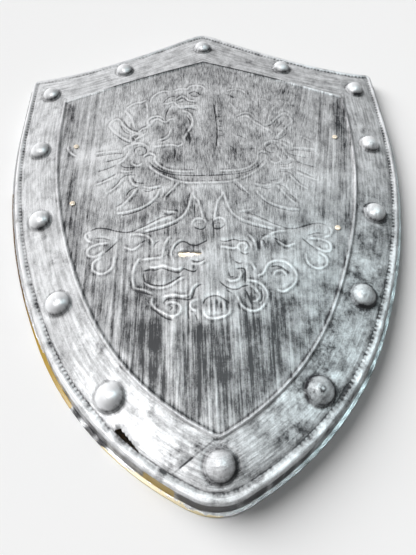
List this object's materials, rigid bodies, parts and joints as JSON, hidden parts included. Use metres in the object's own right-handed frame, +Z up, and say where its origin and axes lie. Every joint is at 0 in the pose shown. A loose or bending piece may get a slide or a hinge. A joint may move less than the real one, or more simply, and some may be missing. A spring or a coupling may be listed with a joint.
{
  "type": "toy heater shield",
  "caption": "Toy heater shield lying face up: a thin moulded sheet with a flared wall and lip, round bosses on its border and an eagle in low relief, with straps riveted to its back.",
  "frame": {"origin": "on the ground, under the centre of the lip's outline", "axes": "+Z up out of the face, +Y to the peak of the top edge, +X to the right seen from the front"},
  "size_m": [0.4748, 0.6064, 0.0391],
  "materials": {
    "shell": "silver paint brushed over black on yellow plastic, worn through to the plastic at the wall and lip",
    "strap": "flat black webbing",
    "rivet": "plain brass, slightly dulled"
  },
  "bodies": {
    "root": {"shield_shell": "shell", "hand_grip": "strap", "arm_strap": "strap", "rivet_grip_top": "rivet", "rivet_grip_bottom": "rivet", "rivet_arm_top": "rivet", "rivet_arm_bottom": "rivet"}
  },
  "joints": []
}
